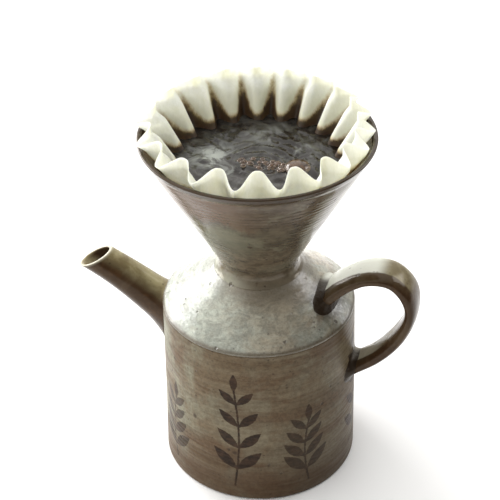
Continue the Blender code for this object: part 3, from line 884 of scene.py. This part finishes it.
def make_spout(material):
    outer = []
    inner = []
    for t in even_steps(SPOUT_STEPS):
        flare = 3.2 * MM * max(0.0, 1 - t / 0.22) ** 2.2
        radius = SPOUT_TIP_RADIUS + SPOUT_FLARE * (1 - t) ** 1.5
        bore = BORE_ROOT_RADIUS + (BORE_TIP_RADIUS - BORE_ROOT_RADIUS) * t
        outer.append(shaped_ring(spout_section(t, radius, flare), t))
        inner.append(shaped_ring(spout_section(t, bore, 0), t))
    spout = skin("spout_tube", outer + rounded_lip() + inner[::-1], looped=True)
    store(spout.data, "bare", bare_lip(positions(spout.data)))
    return place(spout, "pot", "olive_brown_glaze", material, "spout")


# ---- the handle ----

def strap_width(t):
    """Narrower from the upper root, t 0, to the lower one, t 1, and spread at both."""
    plain = STRAP_WIDTH_UPPER + (STRAP_WIDTH_LOWER - STRAP_WIDTH_UPPER) * t
    flare = math.exp(-(t / STRAP_FLARE_REACH) ** 2) + math.exp(-((1 - t) / STRAP_FLARE_REACH) ** 2)
    return plain + STRAP_FLARE * flare


def strap_section(centre, along, width, thickness, roundness=0.0, count=64):
    """A boxy oval across the strap, or a true oval where roundness is 1."""
    side = Vector((0, 1, 0))
    out = side.cross(along).normalized()
    section = []
    for index in range(count):
        turn = 2 * math.pi * index / count
        power = 0.75 + 0.25 * roundness
        across = math.copysign(abs(math.cos(turn)) ** power, math.cos(turn))
        through = math.copysign(abs(math.sin(turn)) ** power, math.sin(turn))
        section.append(centre + side * (across * width / 2) + out * (through * thickness / 2))
    return section


def handle_frames():
    """Points along the strap, each with the strap's direction and its share of the length."""
    path = smooth_path(HANDLE_PATH, 12)
    frames = []
    for index, centre in enumerate(path):
        ahead = path[min(index + 1, len(path) - 1)]
        behind = path[max(index - 1, 0)]
        frames.append((centre, (ahead - behind).normalized(), index / (len(path) - 1)))
    return frames


def make_handle(material):
    frames = handle_frames()
    rings = []
    for index, (centre, along, t) in enumerate(frames):
        pulled = 1 + 0.025 * math.sin(11 * t + 1) + 0.015 * math.sin(27 * t)
        ring = strap_section(centre, along, strap_width(t) * pulled,
                             STRAP_THICKNESS * (1 + 0.05 * math.sin(17 * t)))
        if index == 0:
            ring = [slide_onto_pot(point, along, SUNK) for point in ring]
        if index == len(frames) - 1:
            ring = [slide_onto_pot(point, -along, SUNK) for point in ring]
        rings.append(ring)
    # The rings next to each root are left out, because the root's own ring is slid past them.
    rings = [rings[0]] + rings[5:-5] + [rings[-1]]
    handle = skin("strap_handle", rings, cap_first=True, cap_last=True)
    return place(handle, "pot", "olive_brown_glaze", material, "handle")


ROOT_HEIGHT = 5.0 * MM       # how far the wiped clay climbs the strap
ROOT_REACH = 4.2 * MM        # how far it runs out over the pot
ROOT_STEPS = 16


def root_ring(handle_frame, outward, seed, extra, above, roundness):
    """A lumpy ring round the strap's root, `extra` wider than the strap and `above` the pot."""
    centre, along, t = handle_frame
    grown = 1 + 0.10 * roundness
    section = strap_section(centre, along, grown * strap_width(t) + 2 * extra,
                            grown * STRAP_THICKNESS + 2 * extra, roundness)
    ring = []
    for index, point in enumerate(section):
        turn = 2 * math.pi * index / len(section)
        lump = 0.45 * math.sin(2 * turn + seed) + 0.30 * math.sin(5 * turn + 2 * seed)
        away = (point - centre).normalized()
        ring.append(slide_onto_pot(point + away * lump * MM * roundness, outward, above))
    return ring


def make_clay_root(name, handle_frame, outward, material, seed, *nodes):
    """Clay wiped round the strap's root: it leaves the strap gently and runs out over the pot."""
    rings = []
    for fall in even_steps(ROOT_STEPS):
        extra = -0.5 * MM * (1 - fall) ** 2 + 0.4 * MM * fall * (1 - fall) + ROOT_REACH * fall ** 2
        above = ROOT_HEIGHT * (1 - fall) ** 2 + 0.8 * MM * fall * (1 - fall) + SUNK * fall ** 2
        rings.append(root_ring(handle_frame, outward, seed, extra, above, fall))
    rings.append(root_ring(handle_frame, outward, seed, -1.5 * MM, -0.8 * MM, 0.0))
    root = skin(name, rings, looped=True)
    store(root.data, "pitted", np.ones(len(root.data.vertices)))
    return place(root, "pot", "olive_brown_glaze", material, *nodes)


# ---- the dripper ----

def cone_radius(height):
    """Outer radius of the plain cone."""
    return RIM_RADIUS - (RIM_Z - height) * CONE_SLOPE


def cone_bore(height):
    """Inner radius, wider near the rim where the wall is thinner."""
    thinning = np.clip(1 - (RIM_Z - height) / (12 * MM), 0, 1)
    return cone_radius(height) - CONE_WALL + (CONE_WALL - LIP) * thinning


CONE_SEAM_Z = CONE_Z + 0.2 * MM


def make_cone(material):
    outside = profile([
        (cone_bore(RIM_Z), RIM_Z - 3 * MM, 0),
        (cone_bore(RIM_Z), RIM_Z, 1.4 * MM),
        (RIM_RADIUS, RIM_Z, 1.5 * MM),
        (cone_radius(RIM_Z - 3.6 * MM), RIM_Z - 3.6 * MM, 0.8 * MM),
        (cone_radius(RIM_Z - 5.2 * MM) - 0.5 * MM, RIM_Z - 5.2 * MM, 1.0 * MM),
        (cone_radius(RIM_Z - 11 * MM) - 0.1 * MM, RIM_Z - 11 * MM, 3 * MM),
        (cone_radius(CONE_SEAM_Z), CONE_SEAM_Z, 0),
    ], 0.5 * MM)
    inside = profile([
        (cone_bore(CONE_SEAM_Z), CONE_SEAM_Z, 0),
        (cone_bore(RIM_Z - 12 * MM), RIM_Z - 12 * MM, 4 * MM),
        (cone_bore(RIM_Z), RIM_Z - 4 * MM, 0),
    ], 1.5 * MM)
    cone = turned_shell("cone", outside, inside, TURNED_COLUMNS, DRIPPER_SEED, **DRIPPER_THROWING)
    return place(cone, "dripper", "grey_brown_glaze", material, "dripper_cone")


def foot_flare(steps=14):
    """The waist's outline: straight down from the cone, then sweeping out on to the shoulder."""
    start = Vector((cone_radius(CONE_SEAM_Z), 0, CONE_SEAM_Z))
    end = Vector((SEAT_RADIUS + 0.1 * MM, 0, SEAT_Z + 0.02 * MM))
    in_line_with_cone = start - 5.2 * MM * Vector((CONE_SLOPE, 0, 1)).normalized()
    in_line_with_shoulder = end + 3.0 * MM * Vector((-1, 0, 0.85)).normalized()
    outline = []
    for t in even_steps(steps):
        point = curve((start, in_line_with_cone, in_line_with_shoulder, end), t)
        outline.append((point.x, point.z, 0))
    return outline


def make_foot(material):
    waist = profile(foot_flare(), 0.4 * MM)
    spigot = profile([
        (SEAT_RADIUS - 0.6 * MM, SEAT_Z + 0.02 * MM, 0),
        (SPIGOT_RADIUS, SEAT_Z + 0.02 * MM, 0.3 * MM),
        (SPIGOT_RADIUS, SPIGOT_Z, 0.8 * MM),
        (OUTLET_RADIUS, SPIGOT_Z, 0.8 * MM),
        (OUTLET_RADIUS, 122.5 * MM, 3 * MM),
        (cone_bore(CONE_SEAM_Z), CONE_SEAM_Z, 0),
    ], 0.5 * MM)
    foot = turned_shell("foot", waist, spigot, FOOT_COLUMNS, DRIPPER_SEED, **DRIPPER_THROWING)
    foot.data.set_sharp_from_angle(angle=math.radians(70))
    return place(foot, "dripper", "grey_brown_glaze", material, "dripper_foot")


# ---- the filter and the coffee ----

def pleat_fold(angle):
    """1 on the inward folds and 0 on the outward ones. The folds are a little uneven."""
    uneven = PLEAT_UNEVEN * np.cos(angle - PLEAT_UNEVEN_AT)
    wave = 0.5 + 0.5 * np.cos(PLEATS * (angle - PLEAT_PHASE - uneven))
    return 1 - (1 - wave) ** FOLD_BREADTH


def paper_radius(angle, height):
    """Outer face of the paper. angle turns from -Y towards +X."""
    bore = cone_bore(np.minimum(height, RIM_Z)) - 0.5 * MM
    above_rim = np.clip((height - RIM_Z) / (FOLD_OUTER_Z - RIM_Z), 0, 1)
    leaning = above_rim * (SPREAD - SPREAD_UNEVEN * np.cos(angle - SPREAD_LEAST))
    up = (height - FILTER_Z) / (FOLD_OUTER_Z - FILTER_Z)
    depth = PLEAT_DEPTH_BOTTOM + (PLEAT_DEPTH_TOP - PLEAT_DEPTH_BOTTOM) * np.clip(up, 0, 1)
    relaxed = 0.5 * MM * waves(angle, height, 41, turns=9, rise=60) * np.clip(up, 0, 1)
    return bore + leaning - depth * pleat_fold(angle) - np.abs(relaxed)


def round_points(angle, radius, height):
    return np.stack([radius * np.sin(angle), -radius * np.cos(angle), height + 0 * angle], axis=-1)


def make_paper_filter():
    columns = PLEATS * 30
    levels = np.linspace(0, 1, 46)[:, None]
    angle = np.linspace(0, 2 * math.pi, columns, endpoint=False)[None, :]
    top = FOLD_OUTER_Z + (PAPER_TOP_Z - 0.3 * MM - FOLD_OUTER_Z) * pleat_fold(angle)
    top = top - 0.15 * MM * np.abs(waves(angle, 0 * angle, 43, turns=12))
    height = FILTER_Z + 0.1 * MM + (top - FILTER_Z - 0.1 * MM) * levels
    outer = round_points(angle, paper_radius(angle, height), height)
    inner = round_points(angle, paper_radius(angle, height) - PAPER, height + 0.3 * PAPER)
    inner[0, :, 2] += PAPER
    rings = np.concatenate([inner[:1] * DRAWN_IN, inner, outer[::-1], outer[:1] * DRAWN_IN])
    paper_piece = skin("pleated_paper", rings, cap_first=True, cap_last=True)
    points = positions(paper_piece.data)
    around = np.arctan2(points[:, 0], -points[:, 1])
    above = (points[:, 2] - SLURRY_Z) / MM
    valley = 1 - pleat_fold(around)
    far = 0.5 - 0.5 * np.cos(around - VIEW_AZIMUTH)
    # Coffee soaks up the outward folds most; the extra height of the stain on the side away from the viewer
    # is painted shade.
    climb = 4 + 2 * far + (11 + 7 * far) * valley ** 2
    store(paper_piece.data, "wet_and_shade", np.clip(1.0 - above / climb, 0, 1.0))
    # painted light: a warm glow on the far side, just above the coffee
    store(paper_piece.data, "far_side_glow", np.clip(1.1 - above / 20, 0, 1) * far)
    return place(paper_piece, "filter", "filter_paper", paper(), "paper_filter")


POUR = Vector((3 * MM, -3 * MM, 0))      # where the coffee is stirred up most
RIPPLE_SEED = 7
BUBBLE_SEED = 12
SMALL_BUBBLES = 44
LARGE_BUBBLE = (20.0, -7.5, 6.6, 0.45)   # across, back, radius in millimetres, and flatness

FOAM = [
    # x, y and radius of each patch in millimetres, and how thick it is
    (-24, -2, 10, 1.0),
    (-12, -14, 7, 0.4),
    (18, 14, 8, 0.35),
    (-2, 24, 9, 0.30),
]


def surface_height(x, y):
    """Ripples of the coffee: rings round the pour and small waves everywhere, never above the brim."""
    reach = np.hypot(x - POUR.x, y - POUR.y) / MM
    rings = 0.35 * np.cos(1.15 * reach + 0.6 * np.sin(0.22 * x / MM)) * np.exp(-reach / 16)
    chop = 0.0
    random = np.random.default_rng(RIPPLE_SEED)
    for _ in range(14):
        heading = random.uniform(0, 2 * math.pi)
        waves_per_mm = random.uniform(0.25, 1.3)
        chop = chop + 0.09 / waves_per_mm ** 0.5 * np.cos(
            waves_per_mm * (x * math.cos(heading) + y * math.sin(heading)) / MM
            + random.uniform(0, 2 * math.pi))
    return SLURRY_Z + (rings + 0.6 * chop - 0.4) * MM


def make_coffee():
    columns = PLEATS * 20
    angle = np.linspace(0, 2 * math.pi, columns, endpoint=False)[None, :]
    brim = paper_radius(angle, np.full_like(angle, SLURRY_Z)) - 1.0 * PAPER
    shares = np.concatenate([np.linspace(0.01, 0.9, 90), np.linspace(0.91, 1.0, 12)])[:, None]
    smooth = np.minimum(brim, brim.min())
    radius = shares * (smooth + (brim - smooth) * np.clip((shares - 0.6) / 0.4, 0, 1) ** 2)
    x = radius * np.sin(angle)
    y = -radius * np.cos(angle)
    top = np.stack([x, y, surface_height(x, y)], axis=-1)
    lower_z = SLURRY_Z - 14 * MM
    lower = round_points(angle, paper_radius(angle, np.full_like(angle, lower_z)) - 1.2 * PAPER, lower_z)
    rings = np.concatenate([top, lower, lower * DRAWN_IN])
    drink = skin("coffee_surface", rings, cap_first=True, cap_last=True)
    points = positions(drink.data)
    foam = np.full(len(points), 0.06)
    for x, y, radius, strength in FOAM:
        away = np.hypot(points[:, 0] / MM - x, points[:, 1] / MM - y)
        foam = foam + strength * np.exp(-(away / radius) ** 2)
    store(drink.data, "foam", np.clip(foam, 0, 1))
    return place(drink, "filter", "coffee_with_foam", coffee(), "coffee_slurry")


def dome_rings(centre, radius, flatness):
    """Rings of a bubble's dome, from its top down to just under the surface."""
    rings = []
    for step in range(1, 11):
        tilt = math.radians(115) * step / 10
        turn = np.linspace(0, 2 * math.pi, 24, endpoint=False)
        reach = radius * math.sin(tilt)
        lift = radius * flatness * math.cos(tilt)
        rings.append(np.stack([centre[0] + reach * np.cos(turn), centre[1] + reach * np.sin(turn),
                               centre[2] + lift + 0 * turn], axis=-1))
    return np.array(rings)


def join(pieces, name):
    """Join pieces into the first of them."""
    with bpy.context.temp_override(active_object=pieces[0], selected_editable_objects=pieces):
        bpy.ops.object.join()
    pieces[0].name = name
    pieces[0].data.name = name
    return pieces[0]


def make_bubbles():
    """One large bubble and a cluster of small ones beside where the water lands."""
    random = np.random.default_rng(BUBBLE_SEED)
    spots = [LARGE_BUBBLE]
    for _ in range(SMALL_BUBBLES):
        along = random.uniform(-1, 1)
        sideways = random.normal(0, 2.6)
        size = random.uniform(0.5, 2.1)
        spots.append((3 + 12 * along, -3.5 - 4 * along + sideways, size, random.uniform(0.45, 0.8)))
    domes = []
    for across, back, size, flatness in spots:
        x = (across * math.cos(VIEW_AZIMUTH) - back * math.sin(VIEW_AZIMUTH)) * MM
        y = (across * math.sin(VIEW_AZIMUTH) + back * math.cos(VIEW_AZIMUTH)) * MM
        centre = (x, y, float(surface_height(x, y)))
        dome = skin("bubble", dome_rings(centre, size * MM, flatness), cap_first=True, cap_last=True)
        lift = (positions(dome.data)[:, 2] - centre[2]) / (size * flatness * MM)
        store(dome.data, "edge", np.clip((0.62 - lift) / 0.3, 0, 1))
        domes.append(dome)
    bubbles = join(domes, "coffee_bubbles")
    return place(bubbles, "filter", "coffee_with_foam", bubble_film())


# ---- stage, light and camera ----

def make_floor():
    """A plain pale floor, just under the pot."""
    bpy.ops.mesh.primitive_plane_add(size=6.0, location=(0, 0, -0.2 * MM))
    floor = bpy.context.active_object
    floor.name = "floor"
    floor.data.materials.append(Surface("pale_floor", FLOOR_COLOUR, {"Roughness": 0.9}).finish())


def add_area_light(name, azimuth, elevation, distance, size, watts):
    """A soft light aimed at the object, from a direction turned from -Y towards +X."""
    target = Vector((0, 0, 0.11))
    away = Vector((math.sin(azimuth) * math.cos(elevation), -math.cos(azimuth) * math.cos(elevation),
                   math.sin(elevation)))
    light = bpy.data.lights.new(name, "AREA")
    light.energy = watts
    light.shape = "RECTANGLE"
    light.size = size[0]
    light.size_y = size[1]
    lamp = bpy.data.objects.new(name, light)
    lamp.location = target + away * distance
    lamp.rotation_euler = away.to_track_quat("Z", "Y").to_euler()
    bpy.context.scene.collection.objects.link(lamp)


WINDOW_SIDE = Vector((-0.70, 0.60, 0.39))    # where the studio is brightest, seen from the camera
DIM = 0.10                                   # studio brightness towards the camera
BRIGHT = 1.70                                # studio brightness towards the window


def make_light():
    """A bright studio behind and to the left of the object, and dim on the camera's side."""
    world = bpy.data.worlds.new("studio")
    bpy.context.scene.world = world
    world.use_nodes = True
    nodes = world.node_tree.nodes
    links = world.node_tree.links
    towards = WINDOW_SIDE.normalized()
    towards.rotate(Matrix.Rotation(VIEW_AZIMUTH, 3, "Z"))
    alignment = nodes.new("ShaderNodeVectorMath")
    alignment.operation = "DOT_PRODUCT"
    alignment.inputs[1].default_value = towards
    links.new(nodes.new("ShaderNodeTexCoord").outputs["Generated"], alignment.inputs[0])
    strength = nodes.new("ShaderNodeMapRange")
    strength.interpolation_type = "SMOOTHSTEP"
    spread = {"From Min": -0.45, "From Max": 0.75, "To Min": DIM, "To Max": BRIGHT}
    for name, value in spread.items():
        strength.inputs[name].default_value = value
    links.new(alignment.outputs["Value"], strength.inputs["Value"])
    backdrop = nodes["Background"]
    backdrop.inputs["Color"].default_value = (1.0, 0.99, 0.97, 1)
    links.new(strength.outputs["Result"], backdrop.inputs["Strength"])
    add_area_light("window", VIEW_AZIMUTH + math.radians(-128), math.radians(24), 1.1, (0.9, 0.6), 15)
    add_area_light("far_window", VIEW_AZIMUTH + math.radians(118), math.radians(34), 1.3, (0.5, 0.7), 5.5)


def make_camera():
    """The photograph's viewpoint: a long lens, a little over a third of a right angle above level."""
    pitch = math.radians(35.2)
    roll = math.radians(-0.95)
    distance = 0.780
    aim = Vector((-4.4 * MM, 0, 128.8 * MM))
    aim.rotate(Matrix.Rotation(VIEW_AZIMUTH, 3, "Z"))
    forward = Vector((0, math.cos(pitch), -math.sin(pitch)))
    forward.rotate(Matrix.Rotation(VIEW_AZIMUTH, 3, "Z"))
    camera = bpy.data.cameras.new("camera")
    camera.lens = 107.6
    camera.sensor_width = 36.0
    viewer = bpy.data.objects.new("camera", camera)
    viewer.location = aim - forward * distance
    look = forward.to_track_quat("-Z", "Y").to_matrix()
    viewer.rotation_euler = (look @ Matrix.Rotation(roll, 3, "Z")).to_euler()
    bpy.context.scene.collection.objects.link(viewer)
    bpy.context.scene.camera = viewer


def main():
    make_camera()
    make_floor()
    make_light()
    make_pot_wall()
    make_shoulder()
    olive = olive_glaze()
    make_spout(olive)
    make_handle(olive)
    frames = handle_frames()
    make_clay_root("upper_root", frames[0], frames[0][1], olive, 1.0, "handle_upper_coil")
    make_clay_root("lower_root", frames[-1], -frames[-1][1], olive, 2.3, "handle_lower_coil")
    glaze = cone_glaze()
    make_cone(glaze)
    make_foot(glaze)
    make_paper_filter()
    make_coffee()
    make_bubbles()
    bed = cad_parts["coffee_bed"]
    bed.data.materials.clear()
    bed.data.materials.append(wet_grounds())
    bpy.context.scene.view_settings.view_transform = "Standard"


main()
